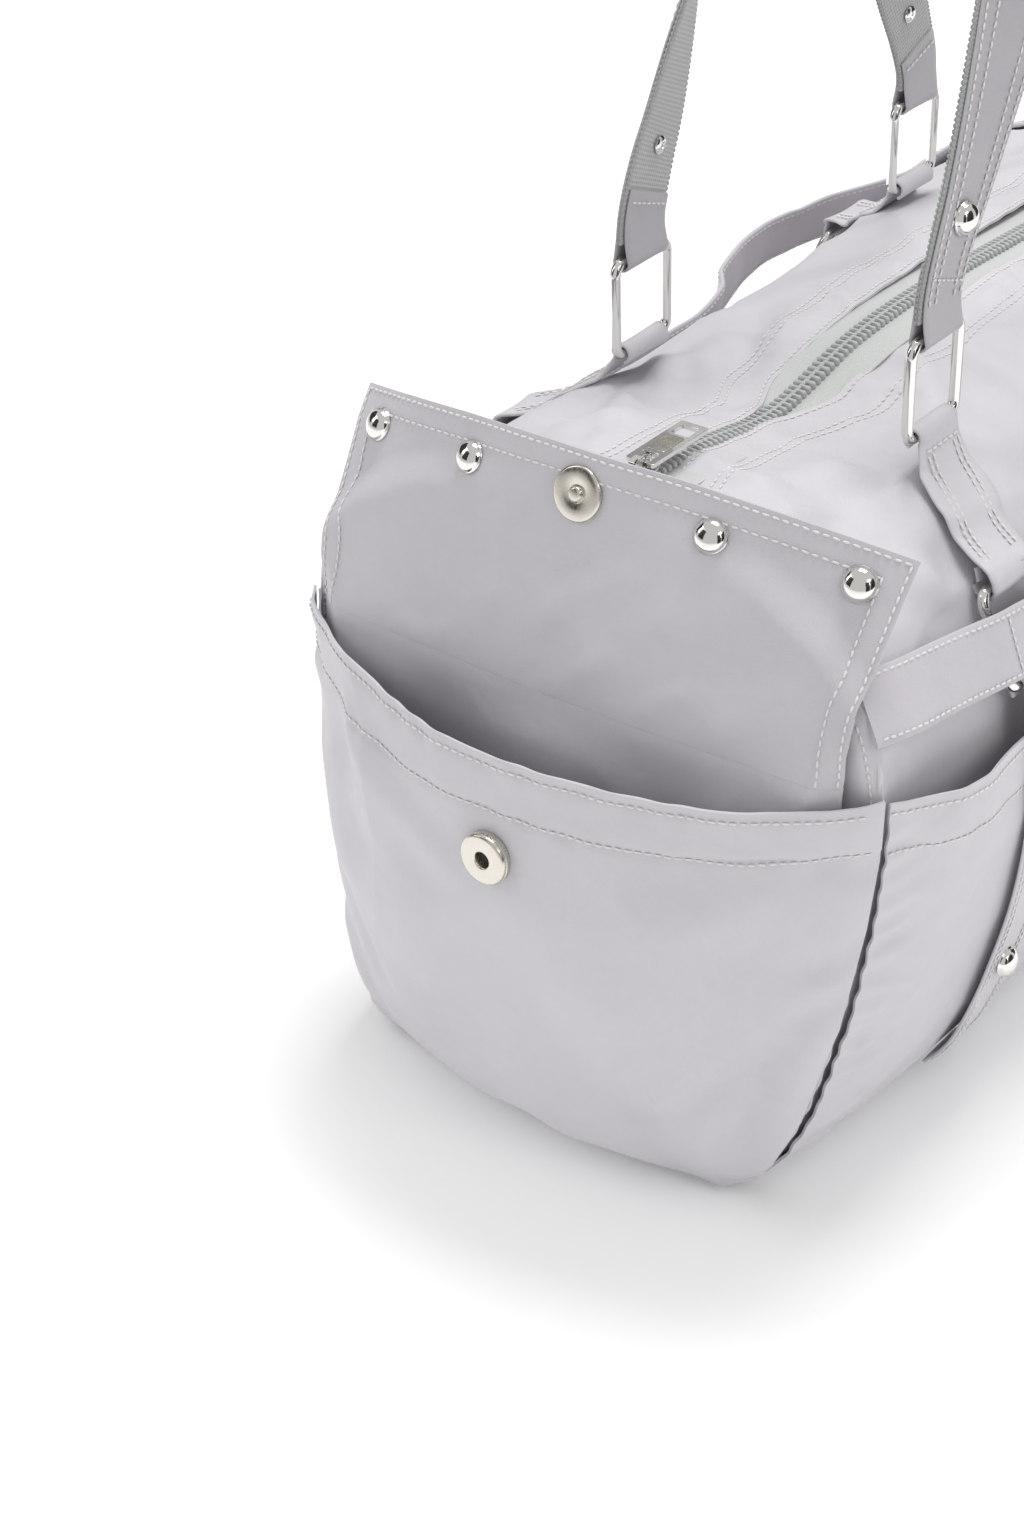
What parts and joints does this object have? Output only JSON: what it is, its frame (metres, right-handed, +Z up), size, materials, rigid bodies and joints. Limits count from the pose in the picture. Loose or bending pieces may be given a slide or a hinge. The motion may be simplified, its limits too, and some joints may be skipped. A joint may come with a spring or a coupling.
{
  "type": "shoulder bag",
  "caption": "Soft nylon barrel bag with a zipped top, a magnetic-snap end pocket flap, side pockets, belts and shoulder straps on metal rings",
  "frame": {"origin": "centre of the flat base, on the surface it rests on", "axes": "+Y runs along the bag away from the flapped pocket, +X to the near side, +Z up"},
  "size_m": [0.2682, 0.4887, 0.5075],
  "materials": {
    "nylon": "smooth crisp nylon with a soft sheen",
    "nylon_inner": "the same nylon, inner side, slightly darker",
    "webbing": "ribbed woven webbing",
    "tape": "woven zip tape",
    "teeth": "moulded teeth",
    "chrome": "polished nickel plate"
  },
  "bodies": {
    "bag": {"base_panel": "nylon", "belt_far": "nylon", "belt_near": "nylon", "end_panel_front": "nylon", "end_panel_rear": "nylon", "end_pocket": "nylon", "lower_strap_front_far": "nylon", "lower_strap_front_near": "nylon", "lower_strap_rear_far": "nylon", "lower_strap_rear_near": "nylon", "lower_stud_front_far": "chrome", "lower_stud_front_near": "chrome", "lower_stud_rear_far": "chrome", "lower_stud_rear_near": "chrome", "main_panel_far": "nylon", "main_panel_near": "nylon", "side_pocket_far": "nylon", "side_pocket_near": "nylon", "side_ring_front_far": "chrome", "side_ring_front_near": "chrome", "side_ring_rear_far": "chrome", "side_ring_rear_near": "chrome", "snap_female": "chrome", "upper_strap_front_far": "nylon", "upper_strap_front_near": "nylon", "upper_strap_rear_far": "nylon", "upper_strap_rear_near": "nylon", "zip_tape_far": "tape", "zip_tape_near": "tape", "zip_teeth_far": "teeth", "zip_teeth_near": "teeth"},
    "slider": {"zip_slider": "chrome"},
    "pull": {"zip_pull": "chrome"},
    "flap_strip": {"flap_base": "nylon_inner"},
    "flap_end": {"flap_lip": "nylon_inner", "snap_male": "chrome", "flap_stud_1": "chrome", "flap_stud_2": "chrome", "flap_stud_3": "chrome", "flap_stud_4": "chrome"},
    "ring_front_near": {"top_ring_front_near": "chrome"},
    "ring_rear_near": {"top_ring_rear_near": "chrome"},
    "handle_near": {"handle_webbing_near": "webbing", "handle_facing_near": "nylon", "handle_stud_near_1": "chrome", "handle_stud_near_2": "chrome", "handle_stud_near_3": "chrome", "handle_stud_near_4": "chrome"},
    "ring_front_far": {"top_ring_front_far": "chrome"},
    "ring_rear_far": {"top_ring_rear_far": "chrome"},
    "handle_far": {"handle_webbing_far": "webbing", "handle_facing_far": "nylon", "handle_stud_far_1": "chrome", "handle_stud_far_2": "chrome", "handle_stud_far_3": "chrome", "handle_stud_far_4": "chrome"}
  },
  "joints": [
    {"name": "zip_slide", "type": "slide", "parent": "bag", "child": "slider", "axis": [0, 1, 0], "range_m": [0, 0.35]},
    {"name": "pull_swing", "type": "hinge", "parent": "slider", "child": "pull", "pos_m": [0, -0.1745, 0.2483], "axis": [1, 0, 0], "range_deg": [0, 135]},
    {"name": "flap_hinge", "type": "hinge", "parent": "bag", "child": "flap_strip", "pos_m": [0, -0.223, 0.1845], "axis": [1, 0, 0], "range_deg": [0, 107.5]},
    {"name": "flap_fold", "type": "hinge", "parent": "flap_strip", "child": "flap_end", "pos_m": [0, -0.21676, 0.21384], "axis": [1, 0, 0], "range_deg": [0, 66.54]},
    {"name": "ring_front_near_swing", "type": "hinge", "parent": "bag", "child": "ring_front_near", "pos_m": [0.059, -0.092, 0.2438], "axis": [0, 1, 0], "range_deg": [-25, 90]},
    {"name": "ring_rear_near_swing", "type": "hinge", "parent": "bag", "child": "ring_rear_near", "pos_m": [0.059, 0.092, 0.2438], "axis": [0, 1, 0], "range_deg": [-25, 90]},
    {"name": "handle_near_swing", "type": "hinge", "parent": "ring_front_near", "child": "handle_near", "pos_m": [0.059, -0.092, 0.2778], "axis": [0, 1, 0], "range_deg": [-25, 40]},
    {"name": "ring_front_far_swing", "type": "hinge", "parent": "bag", "child": "ring_front_far", "pos_m": [-0.059, -0.092, 0.2438], "axis": [0, 1, 0], "range_deg": [-90, 25]},
    {"name": "ring_rear_far_swing", "type": "hinge", "parent": "bag", "child": "ring_rear_far", "pos_m": [-0.059, 0.092, 0.2438], "axis": [0, 1, 0], "range_deg": [-90, 25]},
    {"name": "handle_far_swing", "type": "hinge", "parent": "ring_front_far", "child": "handle_far", "pos_m": [-0.059, -0.092, 0.2778], "axis": [0, 1, 0], "range_deg": [-40, 25]}
  ],
  "couplings": [
    {"joint": "flap_fold", "follows": "flap_hinge", "ratio": 0.619},
    {"joint": "ring_rear_near_swing", "follows": "ring_front_near_swing", "ratio": 1},
    {"joint": "ring_rear_far_swing", "follows": "ring_front_far_swing", "ratio": 1}
  ]
}
